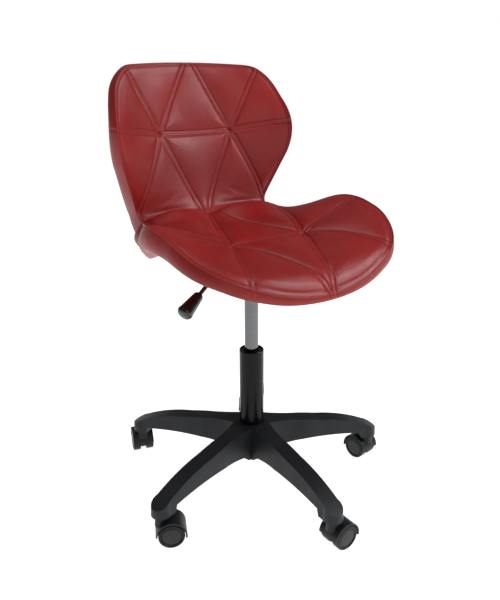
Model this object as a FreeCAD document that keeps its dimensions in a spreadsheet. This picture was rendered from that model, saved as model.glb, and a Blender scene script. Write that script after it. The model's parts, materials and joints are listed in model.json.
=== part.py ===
# Rolling stylist stool: five-arm base on twin-wheel casters, gas lift, release lever,
# moulded bucket shell with quilted seat and back pads.
# Millimetres. +Z up, origin on the floor on the column axis, the seat faces -Y.
import FreeCAD
import Part
import Sketcher
import os
import math

V = FreeCAD.Vector
Rot = FreeCAD.Rotation
Pl = FreeCAD.Placement

doc = FreeCAD.newDocument("StylistStool")
sheet = doc.addObject("Spreadsheet::Sheet", "Params")
sheet.Label = "Params"
_row = [0]


class Q(object):
    """A driving size: its number and the sheet expression that gives it."""

    def __init__(self, v, e):
        self.v = float(v)
        self.e = e

    def _mk(self, o, op, rev=False):
        ov, oe = (o.v, o.e) if isinstance(o, Q) else (float(o), "%.6g" % float(o))
        a, b, ae, be = (ov, self.v, oe, self.e) if rev else (self.v, ov, self.e, oe)
        r = {"+": a + b, "-": a - b, "*": a * b, "/": a / b if b else 0.0}[op]
        return Q(r, "(%s %s %s)" % (ae, op, be))

    def __add__(self, o): return self._mk(o, "+")
    def __radd__(self, o): return self._mk(o, "+", True)
    def __sub__(self, o): return self._mk(o, "-")
    def __rsub__(self, o): return self._mk(o, "-", True)
    def __mul__(self, o): return self._mk(o, "*")
    def __rmul__(self, o): return self._mk(o, "*", True)
    def __truediv__(self, o): return self._mk(o, "/")
    def __neg__(self): return Q(-self.v, "(0 - %s)" % self.e)


def cell(alias, value):
    _row[0] += 1
    sheet.set("A%d" % _row[0], alias)
    sheet.set("B%d" % _row[0], str(value))
    sheet.setAlias("B%d" % _row[0], alias)
    return Q(value, "Params.%s" % alias)


def num(q):
    return q.v if isinstance(q, Q) else float(q)


def bind(obj, prop, q):
    setattr(obj, prop, num(q))
    if isinstance(q, Q):
        obj.setExpression(prop, q.e)


# ---------------------------------------------------------------- driving sizes
# base
arm_reach = cell("arm_reach", 270.5)          # stem circle radius
arm_bottom = cell("arm_bottom", 62)           # underside of the arm ends
nose_rad = cell("nose_rad", 18.6)
hub_rad = cell("hub_rad", 30.5)
hub_low = cell("hub_low", 64)
hub_high = cell("hub_high", 138.2)
arm_mid_high = cell("arm_mid_high", 123)
arm_end_high = cell("arm_end_high", 79)
# gas lift
tube_rad = cell("tube_rad", 25)
tube_high = cell("tube_high", 302.9)
tube_wall = cell("tube_wall", 2)
lift_rad = cell("lift_rad", 14)
lift_low = cell("lift_low", 212)
lift_high = cell("lift_high", 480)
rod_rad = cell("rod_rad", 5)
run_fit = cell("run_fit", 0.05)
bush_low = cell("bush_low", 215)
# casters
wheel_rad = cell("wheel_rad", 25)
wheel_wide = cell("wheel_wide", 16.6)
wheel_inner = cell("wheel_inner", 6.4)
axle_rad = cell("axle_rad", 3)
trail = cell("trail", 17)
stem_rad = cell("stem_rad", 5.5)
neck_rad = cell("neck_rad", 4)
hood_rad = cell("hood_rad", 29.4)
# mechanism
plate_side = cell("plate_side", 160)
plate_thick = cell("plate_thick", 2.5)
plate_high = cell("plate_high", 503.5)
bolt_off = cell("bolt_off", 62)
lever_high = cell("lever_high", 492.2)
lever_rad = cell("lever_rad", 4)
lever_pivot = cell("lever_pivot", 24)
lever_bend = cell("lever_bend", 66)
# shell and pads
shell_thick = cell("shell_thick", 8)
cover_thick = cell("cover_thick", 1.5)
seat_half = cell("seat_half", 239)
seat_front = cell("seat_front", 228)
back_half = cell("back_half", 203)
doc.recompute()


# ---------------------------------------------------------------- small builders
PLANES = {
    "XY": Pl(),
    "XZ": Pl(V(0, 0, 0), Rot(V(1, 0, 0), 90)),
    "YZ": Pl(V(0, 0, 0), Rot(V(1, 1, 1), 120)),
}


def at(x=0, y=0, z=0, rot=None):
    return Pl(V(x, y, z), rot or Rot())


def finish(obj, name):
    obj.Label = name
    return obj


def cyl(name, r, h, z, x=0, y=0, rot=None):
    o = doc.addObject("Part::Cylinder", name)
    bind(o, "Radius", r)
    bind(o, "Height", h)
    o.Placement = at(num(x), num(y), num(z), rot)
    if isinstance(z, Q) and rot is None:
        o.setExpression("Placement.Base.z", z.e)
    return o


def cone(name, r1, r2, h, z, x=0, y=0, rot=None):
    o = doc.addObject("Part::Cone", name)
    bind(o, "Radius1", r1)
    bind(o, "Radius2", r2)
    bind(o, "Height", h)
    o.Placement = at(num(x), num(y), num(z), rot)
    return o


def box(name, lx, ly, lz, x, y, z, rot=None):
    o = doc.addObject("Part::Box", name)
    bind(o, "Length", lx)
    bind(o, "Width", ly)
    bind(o, "Height", lz)
    o.Placement = at(num(x), num(y), num(z), rot)
    return o


def sphere(name, r, x, y, z):
    o = doc.addObject("Part::Sphere", name)
    bind(o, "Radius", r)
    o.Placement = at(num(x), num(y), num(z))
    return o


def cut(name, a, b):
    o = doc.addObject("Part::Cut", name)
    o.Base = a
    o.Tool = b
    return o


def fuse(name, *parts):
    o = doc.addObject("Part::MultiFuse", name)
    o.Shapes = list(parts)
    return o


def common(name, *parts):
    o = doc.addObject("Part::MultiCommon", name)
    o.Shapes = list(parts)
    return o


def sketch(name, plane, pts):
    """Closed outline. pts: (x, y) points, or ('A', (xm, ym), (x, y)) for an arc through xm, ym.
    A coordinate given as a driving size is bound to its cell."""
    s = doc.addObject("Sketcher::SketchObject", name)
    s.Placement = PLANES[plane] if isinstance(plane, str) else plane
    ends = [p if p[0] != "A" else p[2] for p in pts]
    n = len(pts)
    for i in range(n):
        a = ends[i]
        nxt = pts[(i + 1) % n]
        b = ends[(i + 1) % n]
        A = V(num(a[0]), num(a[1]), 0)
        B = V(num(b[0]), num(b[1]), 0)
        if nxt[0] == "A":
            M = V(num(nxt[1][0]), num(nxt[1][1]), 0)
            if (M - A).cross(B - M).z < 0:
                A, B = B, A
            s.addGeometry(Part.Arc(A, M, B), False)
        else:
            s.addGeometry(Part.LineSegment(A, B), False)
    # which sketch point (1 start, 2 end) lies on each outline point
    def pos(i, p):
        g = s.Geometry[i]
        a = g.StartPoint if hasattr(g, "StartPoint") else g.getStartPoint()
        b = g.EndPoint if hasattr(g, "EndPoint") else g.getEndPoint()
        q = V(num(p[0]), num(p[1]), 0)
        return 1 if a.distanceToPoint(q) <= b.distanceToPoint(q) else 2
    for i in range(n):
        j = (i + 1) % n
        s.addConstraint(Sketcher.Constraint("Coincident", i, pos(i, ends[j]), j, pos(j, ends[j])))
    for i in range(n):
        p = ends[i]
        k = pos(i, p)
        for c, kind in ((0, "DistanceX"), (1, "DistanceY")):
            if isinstance(p[c], Q):
                idx = s.addConstraint(Sketcher.Constraint(kind, -1, 1, i, k, num(p[c])))
                s.setExpression("Constraints[%d]" % idx, p[c].e)
    return s


def pull(name, sk, d, fwd, rev=0, taper=0):
    o = doc.addObject("Part::Extrusion", name)
    o.Base = sk
    o.DirMode = "Custom"
    o.Dir = V(*d)
    bind(o, "LengthFwd", fwd)
    bind(o, "LengthRev", rev)
    o.Solid = True
    if taper:
        o.TaperAngle = taper
    return o


def turn(name, sk, axis=(0, 0, 1), base=(0, 0, 0)):
    o = doc.addObject("Part::Revolution", name)
    o.Source = sk
    o.Axis = V(*axis)
    o.Base = V(*base)
    o.Angle = 360
    o.Solid = True
    return o


def turned(name, pts, axis=(0, 0, 1), base=(0, 0, 0), plane="XZ"):
    return turn(name, sketch(name + "_profile", plane, pts), axis, base)


def placed(name, parts, pl):
    """A placed copy of one or more finished pieces."""
    o = doc.addObject("Part::Compound", name)
    o.Links = list(parts)
    o.Placement = pl
    o.Label = name
    return o


nodes = {}


def node(name, obj):
    obj.Label = name
    nodes[name] = obj
    return obj


# ---------------------------------------------------------------- base star
# One arm lies along +X of its own frame: plan outline and side outline, each drawn
# once, and their common part is the arm.
side = sketch("arm_side", "XZ", [
    (0, hub_low + 1), (33, hub_low + 2), (48, 79),
    ("A", (150, 84.5), (245, 76)), (250, arm_bottom), (292, arm_bottom), (292, arm_end_high - 2),
    ("A", (236, 103.5), (150, arm_mid_high)), ("A", (92, 132), (30, hub_high)), (0, hub_high)])
side_solid = pull("arm_side_solid", side, (0, 1, 0), 60, 60)
def arm_outline(tag, z, inset, tip):
    s = sketch(tag, "XY", [
        (0, -(27 - inset)), (22, -(33 - inset)),
        ("A", (52, -(25.0 - inset)), (110, -(22.2 - inset))), (262, -(nose_rad - inset * 0.7)),
        ("A", (arm_reach + nose_rad - tip, 0), (262, nose_rad - inset * 0.7)), (110, 22.2 - inset),
        ("A", (52, 25.0 - inset), (22, 33 - inset)), (0, 27 - inset)])
    s.Placement = at(0, 0, z)
    return s


plan_solid = doc.addObject("Part::Loft", "arm_plan_solid")
plan_solid.Sections = [arm_outline("arm_plan_low", 60, 0.0, 0.0), arm_outline("arm_plan_high", 142, 6.4, 5.0)]
plan_solid.Solid = True
plan_solid.Ruled = True
arm = common("arm_outer", side_solid, plan_solid)
# the hollow underneath, with ribs left standing
side_in = sketch("arm_hollow_side", "XZ", [
    (42, 55), (252, 55), (252, 91), ("A", (205, 107.5), (150, arm_mid_high - 5)),
    ("A", (98, 126), (42, 130))])
side_in_solid = pull("arm_hollow_side_solid", side_in, (0, 1, 0), 60, 60)
plan_in = sketch("arm_hollow_plan", "XY", [
    (42, -15.5), (110, -13.0), (240, -9.5), (248, -7), (248, 7), (240, 9.5), (110, 13.0), (42, 15.5)])
plan_in.Placement = at(0, 0, 50)
plan_in_solid = pull("arm_hollow_plan_solid", plan_in, (0, 0, 1), 90)
hollow = common("arm_hollow", side_in_solid, plan_in_solid)
ribs = [box("arm_rib_long", 240, 3, 90, 20, -1.5, 68)]
for i, r in enumerate((84, 126, 168, 210)):
    ribs.append(box("arm_rib_%d" % i, 3, 60, 90, r, -30, 71))
rib_all = fuse("arm_ribs", *ribs)
hollow_cut = cut("arm_hollow_ribbed", hollow, rib_all)
arm_h = cut("arm_hollowed", arm, hollow_cut)
socket = cyl("arm_socket", stem_rad + 0.02, 20.5, 60, arm_reach)
arm_s = cut("arm_one", arm_h, socket)

arm_first = -21.745
arms = []
for k in range(5):
    arms.append(placed("arm_%d" % k, [arm_s], at(rot=Rot(V(0, 0, 1), arm_first + 72 * k))))
hub = turned("hub_turned", [
    (0, hub_low), (hub_rad + 0.6, hub_low), (hub_rad + 1.6, hub_low + 2), (hub_rad + 1.2, 118), (hub_rad, hub_high - 2),
    (hub_rad - 1.5, hub_high), (0, hub_high)])
star_full = fuse("star_full", hub, *arms)
hub_bore = turned("hub_bore", [(0, 50), (24.05, 50), (24.05, 66), (25.05, hub_high), (25.05, 150), (0, 150)])
hub_rebate = turned("hub_rebate", [(0, 50), (29.05, 50), (29.05, 68.05), (0, 68.05)])
star_a = cut("star_bored", star_full, hub_bore)
node("base_star", cut("base_star", star_a, hub_rebate))
node("hub_ring", turned("hub_ring", [(24.2, 64.5), (29.0, 64.5), (29.0, 68.0), (24.2, 68.0)]))

# pintles and their grip rings
stem_one = turned("stem_one", [
    (0, 40), (neck_rad - 0.6, 40), (neck_rad, 40.8), (neck_rad, 61.4), (8.5, 61.4), (8.5, 61.95),
    (stem_rad - 0.6, 61.95), (stem_rad - 0.6, 68.0), (stem_rad - 1.4, 68.0), (stem_rad - 1.4, 74.0),
    (stem_rad - 0.6, 74.0), (stem_rad - 0.6, 78), (2.5, 80), (0, 80)])
ring_one = turned("ring_one", [
    (stem_rad - 1.35, 68.1), (stem_rad - 0.05, 68.1), (stem_rad + 0.0, 70), (stem_rad + 0.0, 72),
    (stem_rad - 0.05, 73.9), (stem_rad - 1.35, 73.9)])
stems, rings = [], []
for k in range(5):
    a = math.radians(arm_first + 72 * k)
    p = at(arm_reach.v * math.cos(a), arm_reach.v * math.sin(a), 0)
    stems.append(placed("stem_%d" % k, [stem_one], p))
    rings.append(placed("ring_%d" % k, [ring_one], p))
node("caster_stems", placed("caster_stems", stems, Pl()))
node("stem_grip_rings", placed("stem_grip_rings", rings, Pl()))

# ---------------------------------------------------------------- gas lift, fixed part
node("outer_tube", turned("outer_tube", [
    (rod_rad + 0.8, 62), (24.0, 62), (24.0, 66), (24.98, hub_high), (tube_rad, hub_high + 0.6), (tube_rad, tube_high - 1.5),
    (tube_rad - 1.0, tube_high), (tube_rad - tube_wall, tube_high), (tube_rad - tube_wall, 150), (22.0, 138), (21.4, 66), (rod_rad + 0.8, 66)]))
node("guide_bush", turned("guide_bush", [
    (lift_rad + run_fit, bush_low), (20.5, bush_low), (20.5, bush_low + 8), (22.95, bush_low + 12), (22.95, tube_high - 3),
    (lift_rad + 2.2, tube_high - 3), (lift_rad + run_fit, tube_high - 4.5)]))
race_low = turned("race_low", [(rod_rad + 0.6, 66.02), (12, 66.02), (12, 67.6), (9.8, 67.6), (9.0, 67.2), (8.2, 67.6), (rod_rad + 0.6, 67.6)])
race_high = turned("race_high", [(rod_rad + 0.6, 70.8), (8.2, 70.8), (9.0, 71.2), (9.8, 70.8), (12, 70.8), (12, 72.4), (rod_rad + 0.6, 72.4)])
ball_ring = turned("ball_ring", [(7.6, 67.9), (8.6, 67.65), (9.4, 67.65), (10.4, 67.9), (10.4, 70.5), (9.4, 70.75), (8.6, 70.75), (7.6, 70.5)])
node("thrust_bearing", placed("thrust_bearing", [race_low, race_high, ball_ring], Pl()))
node("bump_rubber", turned("bump_rubber", [
    (9.2, 72.45), (16, 72.45), (16, 76), (14, 79), (16, 82), (14, 85), (15, 88), (9.2, 88)]))
node("foot_washer", turned("foot_washer", [(rod_rad + 0.6, 60.4), (11, 60.4), (11, 61.98), (rod_rad + 0.6, 61.98)]))

# ---------------------------------------------------------------- piston rod, turns with the seat
node("piston_rod", turned("piston_rod", [
    (0, 56), (4.4, 56), (rod_rad, 56.8), (rod_rad, 57.6), (rod_rad - 1, 57.6), (rod_rad - 1, 58.9), (rod_rad, 58.9), (rod_rad, 72.5),
    (8.4, 72.5), (8.4, 75.5), (rod_rad, 75.5), (rod_rad, 225), (3.0, 225), (3.0, 243), (0, 243)]))
node("piston", turned("piston", [
    (3.02, 225.2), (lift_rad - 2.2, 225.2), (lift_rad - 2.2, 228), (lift_rad - 2.8, 228), (lift_rad - 2.8, 231), (lift_rad - 2.2, 231),
    (lift_rad - 2.2, 237), (8, 240), (3.02, 240)]))
node("rod_clip", turned("rod_clip", [(rod_rad - 0.95, 57.65), (9.5, 57.65), (9.5, 58.85), (rod_rad - 0.95, 58.85)]))

# ---------------------------------------------------------------- gas lift, rising part
node("pressure_tube", turned("pressure_tube", [
    (lift_rad - 2, lift_low), (lift_rad - 0.8, lift_low), (lift_rad, lift_low + 0.8), (lift_rad, 454), (lift_rad - 0.9, lift_high - 1), (lift_rad - 1.9, lift_high),
    (2.55, lift_high), (2.55, 462), (5.0, 462), (lift_rad - 2, 456)]))
node("rod_guide", turned("rod_guide", [
    (rod_rad + run_fit, lift_low + 0.5), (lift_rad - 2.05, lift_low + 0.5), (lift_rad - 2.05, lift_low + 12), (rod_rad + run_fit, lift_low + 12)]))
node("release_pin", turned("release_pin", [
    (0, 459.0), (3.8, 459.0), (3.8, 461.9), (2.5, 461.9), (2.5, 486.4), (1.9, 487), (0, 487)]))

# ---------------------------------------------------------------- seat mechanism
plate = box("plate_blank", plate_side, plate_side, plate_thick, -80, -80, plate_high - plate_thick)
holes = []
for i, (sx, sy) in enumerate(((1, 1), (-1, 1), (-1, -1), (1, -1))):
    holes.append(cyl("plate_hole_%d" % i, 3.4, 20, 490, sx * bolt_off.v, sy * bolt_off.v))
plate_cut = cut("plate_drilled", plate, fuse("plate_holes", *holes))
corner_cuts = []
for i, (sx, sy) in enumerate(((1, 1), (-1, 1), (-1, -1), (1, -1))):
    corner_cuts.append(box("plate_corner_%d" % i, 30, 30, 20, 0, 0, 490, None))
    corner_cuts[-1].Placement = Pl(V(sx * 80, sy * 80, 490), Rot(V(0, 0, 1), 45)).multiply(Pl(V(-15, -15, 0), Rot()))
node("mech_plate", cut("mech_plate", plate_cut, fuse("plate_corners", *corner_cuts)))
h_low, h_high = 465.0, 500.95
hous = box("housing_blank", 104, 46, h_high - h_low, -52, -23, h_low)
hous_in = box("housing_inside", 99, 41, 60, -49.5, -20.5, h_low + 2.5)
hous_slot = box("housing_slot", 20, 13, 40, -62, -6.5, 478)
hous_bore = cyl("housing_bore", 19.02, 20, 455)
hous_pin = cyl("housing_pin_bore", 2.52, 60, lever_high, -lever_pivot.v, -30, Rot(V(1, 0, 0), -90))
hous_pin.Placement = Pl(V(-lever_pivot.v, -30, lever_high.v), Rot(V(1, 0, 0), -90))
node("mech_housing", cut("mech_housing", hous, fuse("housing_cuts", hous_in, hous_slot, hous_bore, hous_pin)))
node("taper_socket", turned("taper_socket", [
    (lift_rad + 0.05, 454), (17.2, 454), (19.0, 457), (19.0, 482), (lift_rad - 0.75, 482), (lift_rad - 0.75, lift_high)]))
pin = doc.addObject("Part::Cylinder", "lever_pin")
bind(pin, "Radius", 2.5)
bind(pin, "Height", 50)
pin.Placement = Pl(V(-lever_pivot.v, -25, lever_high.v), Rot(V(1, 0, 0), -90))
node("lever_pin", pin)

# bolts up through the plate into tee nuts
bolts, nuts = [], []
for i, (sx, sy) in enumerate(((1, 1), (-1, 1), (-1, -1), (1, -1))):
    b = turned("bolt_%d" % i, [(0, 497), (5, 497), (5.6, 498), (5.6, plate_high - plate_thick - 0.02), (3.0, plate_high - plate_thick - 0.02), (3.0, 512.0), (0, 512.0)])
    n_ = turned("nut_%d" % i, [(3.05, plate_high + 0.1), (4.4, plate_high + 0.1), (4.4, 512.6), (3.05, 512.6)])
    bolts.append(placed("plate_bolt_%d" % i, [b], at(sx * bolt_off.v, sy * bolt_off.v, 0)))
    nuts.append(placed("tee_nut_%d" % i, [n_], at(sx * bolt_off.v, sy * bolt_off.v, 0)))
node("plate_bolts", placed("plate_bolts", bolts, Pl()))
node("tee_nuts", placed("tee_nuts", nuts, Pl()))

# ---------------------------------------------------------------- release lever
# straight arm over the release pin, out through the housing slot, then bent down
zr = lever_high.v
drop = 30.0
swing = 15.7
rod_in = cyl("lever_straight", lever_rad, 72, 0)
rod_in.Placement = Pl(V(6, 0, zr), Rot(V(0, 1, 0), -90))
bend = sphere("lever_bend_ball", lever_rad, -lever_bend.v, 0, zr)
u = V(-math.cos(math.radians(drop)) * math.cos(math.radians(swing)),
      -math.cos(math.radians(drop)) * math.sin(math.radians(swing)), -math.sin(math.radians(drop)))
rod_out = cyl("lever_slope", lever_rad, 92, 0)
rod_out.Placement = Pl(V(-lever_bend.v, 0, zr), Rot(V(0, 0, 1), u))
boss = cyl("lever_boss", 7.0, 12, 0)
boss.Placement = Pl(V(-lever_pivot.v, -6, zr), Rot(V(1, 0, 0), -90))
nub = sphere("lever_nub", 3.2, 0, 0, 490.35)
rod_all = fuse("lever_solid", rod_in, bend, rod_out, boss, nub)
bore = cyl("lever_bore", 2.56, 40, 0)
bore.Placement = Pl(V(-lever_pivot.v, -20, zr), Rot(V(1, 0, 0), -90))
node("lever_rod", cut("lever_rod", rod_all, bore))
knob = turned("lever_knob", [
    (4.03, 80.5), (7.6, 80.5), (9.6, 83.8), (14.3, 121.5), ("A", (13.4, 130.5), (8.5, 134.0)), (0, 135.2), (0, 92.2), (4.03, 92.2)])
knob.Placement = Pl(V(-lever_bend.v, 0, zr), Rot(V(0, 0, 1), u))
node("lever_knob", knob)

# ---------------------------------------------------------------- shell and pads
# Stations along the middle of the shell's upper face, front edge to the top of the back:
# y, z, slope (degrees), half width drawn, rise of the sides at that half width, pad depth
ST = [
    ("A", -224.5, 483.0, 30, 235, 6, 3),
    ("B", -197.3, 501.5, 24, 240, 20, 8),
    ("C", -153.6, 513.7, 12, 245, 27, 16),
    ("D", -100.9, 516.0, 4, 248, 44, 24),
    ("E", -50.0, 514.0, 0, 250, 56, 29),
    ("F", 4.9, 513.0, 1, 250, 56, 33),
    ("G", 59.5, 514.0, 3, 240, 28, 37),
    ("H", 103.9, 516.9, 9, 225, 6, 39),
    ("I", 138.4, 522.7, 24, 215, 1.5, 40),
    ("J", 172.0, 535.0, 45, 210, -3, 40),
    ("T", 172.3, 535.3, 45, 210, -3, 40),
    ("K", 193.2, 555.4, 64, 205, 1.5, 38),
    ("L", 205.2, 591.5, 78, 206, 26, 36),
    ("M", 211.2, 641.3, 82.5, 208, 53, 32),
    ("N", 217.9, 702.6, 85, 210, 72, 28),
    ("O", 221.0, 763.3, 88, 210, 73, 20),
    ("P", 221.0, 815.0, 90, 210, 57, 14),
    ("R", 220.0, 853.0, 91, 208, 55, 8),
]
cells = {}
for key, y, z, th, w, rise, deep in ST:
    cells[key] = (cell("width_" + key, w), cell("rise_" + key, rise), cell("depth_" + key, deep))
doc.recompute()


def station(tag, key, lo, hi, wide=0.0):
    """Closed section across the shell: a lower and an upper arc joined by two side lines."""
    row = [s for s in ST if s[0] == key][0]
    _, y, z, th, w, rise, deep = row
    qw, qr, qd = cells[key]
    t = math.radians(th)
    T = V(0, math.cos(t), math.sin(t))
    N = V(0, -math.sin(t), math.cos(t))
    X = V(1, 0, 0)
    m = FreeCAD.Matrix(X.x, N.x, -T.x, 0, X.y, N.y, -T.y, y, X.z, N.z, -T.z, z, 0, 0, 0, 1)
    pl = Pl(m)
    W = qw + wide
    top = hi if not callable(hi) else hi(qd)
    low = lo if not callable(lo) else lo(qd)
    return sketch("%s_%s" % (tag, key), pl, [
        (-W, qr + low), ("A", (0, low), (W, qr + low)), (W, qr + top), ("A", (0, top), (-W, qr + top))])


def slab(tag, keys, lo, hi):
    o = doc.addObject("Part::Loft", tag)
    o.Sections = [station(tag, k, lo, hi) for k in keys]
    o.Solid = True
    o.Ruled = False
    return o


ALL = "ABCDEFGHIJKLMNOPR"
SEAT = "ABCDEFGHIJ"
BACK = "TKLMNOPR"


def seat_outline(tag, d, nose=0.0):
    s = sketch(tag, "XY", [
        ("A", (-(213 - d), -(166 - d * .7)), (-(150 - d), -(206 - d))),
        ("A", (0, -(seat_front.v - d - nose)), (150 - d, -(206 - d))),
        ("A", (213 - d, -(166 - d * .7)), (236 - d, -85)),
        ("A", (seat_half.v - 6 - d, -17), (198 - d, 46 - d * .3)),
        ("A", (173 - d, 84 - d * .4), (155 - d, 122 - d * .8)), ("A", (157 - d, 160), (138 - d, 190)),
        (-(138 - d), 190), ("A", (-(157 - d), 160), (-(155 - d), 122 - d * .8)),
        ("A", (-(173 - d), 84 - d * .4), (-(198 - d), 46 - d * .3)),
        ("A", (-(seat_half.v - 6 - d), -17), (-(236 - d), -85))])
    s.Placement = at(0, 0, 380)
    return pull(tag + "_solid", s, (0, 0, 1), 300)


def back_outline(tag, d):
    s = sketch(tag, "XZ", [
        (-(150 - d), 480), (150 - d, 480), (150 - d, 562),
        ("A", (171 - d, 612), (195 - d, 672)),
        ("A", (back_half.v - d, 738), (190 - d, 792 - d * .5)),
        ("A", (172 - d, 826 - d * .8), (142 - d, 847 - d)),
        ("A", (0, 852 - d), (-(142 - d), 847 - d)),
        ("A", (-(172 - d), 826 - d * .8), (-(190 - d), 792 - d * .5)),
        ("A", (-(back_half.v - d), 738), (-(195 - d), 672)),
        ("A", (-(171 - d), 612), (-(150 - d), 562))])
    s.Placement = Pl(V(0, 400, 0), Rot(V(1, 0, 0), 90))
    return pull(tag + "_solid", s, (0, -1, 0), 400)


gap = 0.3
out_seat = seat_outline("seat_plan", 0)
in_seat = seat_outline("seat_plan_inner", cover_thick.v + gap, 8.2)
out_back = back_outline("back_plan", 0)
in_back = back_outline("back_plan_inner", cover_thick.v + gap)

shell_slab = slab("shell_slab", ALL, Q(-shell_thick.v, "(0 - Params.shell_thick)"), 0)
# the space the shell takes up, with a little air on both faces
shell_room = slab("shell_room", ALL, -(shell_thick.v + gap), gap)
seat_core = slab("seat_core", SEAT, -1.2, lambda q: q - cover_thick.v - gap)
back_core = slab("back_core", BACK, -1.2, lambda q: q - cover_thick.v - gap)
seat_skin = slab("seat_skin", SEAT, -(shell_thick.v + cover_thick.v), lambda q: q * 1.0)
back_skin = slab("back_skin", BACK, -(shell_thick.v + cover_thick.v), lambda q: q * 1.0)
seat_void = slab("seat_void", SEAT, -1.2, lambda q: q - cover_thick.v)
back_void = slab("back_void", BACK, -1.2, lambda q: q - cover_thick.v)

# shell: cut to the seat outline in front and the back outline above
seat_zone = box("seat_zone", 600, 600, 150, -300, -440, 400)
back_zone = box("back_zone", 600, 400, 360, -300, 60, 545)
# past the crease only the back's outline counts
past_crease = box("past_crease", 600, 300, 200, -300, 242.7, 464.3, Rot(V(1, 0, 0), 45))
shell_seat = cut("shell_seat", common("shell_seat_plan", shell_slab, in_seat, box("seat_limit", 600, 700, 145, -300, -400, 430)), past_crease)
shell_back = common("shell_back", shell_slab, in_back, box("back_limit", 600, 300, 345, -300, 100, 530))
bosses = [cyl("shell_boss_%d" % i, 11, 9.2, plate_high + 0.05, sx * bolt_off.v, sy * bolt_off.v)
          for i, (sx, sy) in enumerate(((1, 1), (-1, 1), (-1, -1), (1, -1)))]
shell_all = fuse("shell_all", shell_seat, shell_back, *bosses)
nut_holes = fuse("nut_holes", *[cyl("nut_hole_%d" % i, 4.45, 40, 490, sx * bolt_off.v, sy * bolt_off.v)
                                for i, (sx, sy) in enumerate(((1, 1), (-1, 1), (-1, -1), (1, -1)))])
node("seat_shell", cut("seat_shell", shell_all, nut_holes))

node("seat_foam", cut("seat_foam", common("seat_foam_plan_cut", seat_core, seat_outline("seat_foam_plan", cover_thick.v + 2 * gap, 8.2)), shell_room))
node("back_foam", cut("back_foam", common("back_foam_plan_cut", back_core, back_outline("back_foam_plan", cover_thick.v + 2 * gap)), shell_room))
sc_out = common("seat_cover_outer", seat_skin, out_seat)
seat_void_plan = seat_outline("seat_void_plan", cover_thick.v, 8.0)
sc_in = common("seat_cover_inner", seat_void, seat_void_plan)
sc_room = common("seat_cover_room", shell_room, seat_void_plan)
under = box("cover_window", 176, 176, 60, -88, -88, 458)
node("seat_cover", cut("seat_cover", cut("seat_cover_open", sc_out, fuse("seat_cover_cuts", sc_in, under)), sc_room))
bc_out = common("back_cover_outer", back_skin, out_back)
back_void_plan = back_outline("back_void_plan", cover_thick.v)
bc_in = common("back_cover_inner", back_void, back_void_plan)
bc_room = common("back_cover_room", shell_room, back_void_plan)
node("back_cover", cut("back_cover", cut("back_cover_open", bc_out, bc_in), bc_room))

# ---------------------------------------------------------------- casters
# Drawn once with the pintle on Z and the wheels trailing along +X.
tr = trail.v
wr = wheel_rad.v
axle_pl = Pl(V(tr, 0, wr), Rot(V(1, 0, 0), -90))     # local z along +Y
XZo = Pl(V(0, 0, 0), Rot(V(1, 0, 0), 90))

web = cyl("hood_web", wheel_rad + 1.2, 11.6, 0)
web.Placement = Pl(V(tr, -5.8, wr), Rot(V(1, 0, 0), -90))
fend_o = cyl("hood_outer", hood_rad, 46, 0)
fend_o.Placement = Pl(V(tr, -23, wr), Rot(V(1, 0, 0), -90))
fend_i = cyl("hood_inner", hood_rad - 3.0, 60, 0)
fend_i.Placement = Pl(V(tr, -30, wr), Rot(V(1, 0, 0), -90))
fend = cut("hood_ring", fend_o, fend_i)
# the hood stops level with the axle in front and reaches down behind in a point
hood_keep = pull("hood_keep", sketch("hood_keep_outline", "XZ", [
    (tr - 40, 27.5), (tr - 20, 25.5), (tr, 24), (tr + 18, 24), (tr + 40, 15.5), (tr + 40, 70), (tr - 40, 70)]), (0, 1, 0), 40, 40)
fend_k = common("hood_shell", fend, hood_keep)
web_keep = pull("web_keep", sketch("web_keep_outline", "XZ", [
    (tr - 40, 24), (tr - 12, 13), (tr + 12, 13), (tr + 40, 22), (tr + 40, 70), (tr - 40, 70)]), (0, 1, 0), 40, 40)
web_k = common("hood_web_cut", web, web_keep)
neck = cone("hood_neck", 13.0, 11.2, 22.0, 39.2)
neck_fix = pull("neck_blend", sketch("neck_blend_outline", "XZ", [
    (-11.5, 39), (-10, 58), ("A", (2, 60.4), (11, 55)), (tr + 4, 53.4), (tr + 8, 45), (tr - 6, 40)]), (0, 1, 0), 7.5, 7.5)
hood_sum = fuse("hood_sum", fend_k, web_k, neck, neck_fix)
bay_a = cyl("wheel_bay_a", wheel_rad + 0.9, 30, 0)
bay_a.Placement = Pl(V(tr, 5.8, wr), Rot(V(1, 0, 0), -90))
bay_b = cyl("wheel_bay_b", wheel_rad + 0.9, 30, 0)
bay_b.Placement = Pl(V(tr, -35.8, wr), Rot(V(1, 0, 0), -90))
stem_hole = cyl("hood_stem_hole", neck_rad + run_fit, 30, 39.5)
axle_hole = cyl("hood_axle_hole", axle_rad + 0.01, 40, 0)
axle_hole.Placement = Pl(V(tr, -20, wr), Rot(V(1, 0, 0), -90))
hood_master = cut("hood_master", hood_sum, fuse("hood_cuts", bay_a, bay_b, stem_hole, axle_hole))

axle_master = cyl("axle_master", axle_rad, 39.9, 0)
axle_master.Placement = Pl(V(tr, -19.95, wr), Rot(V(1, 0, 0), -90))

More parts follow.
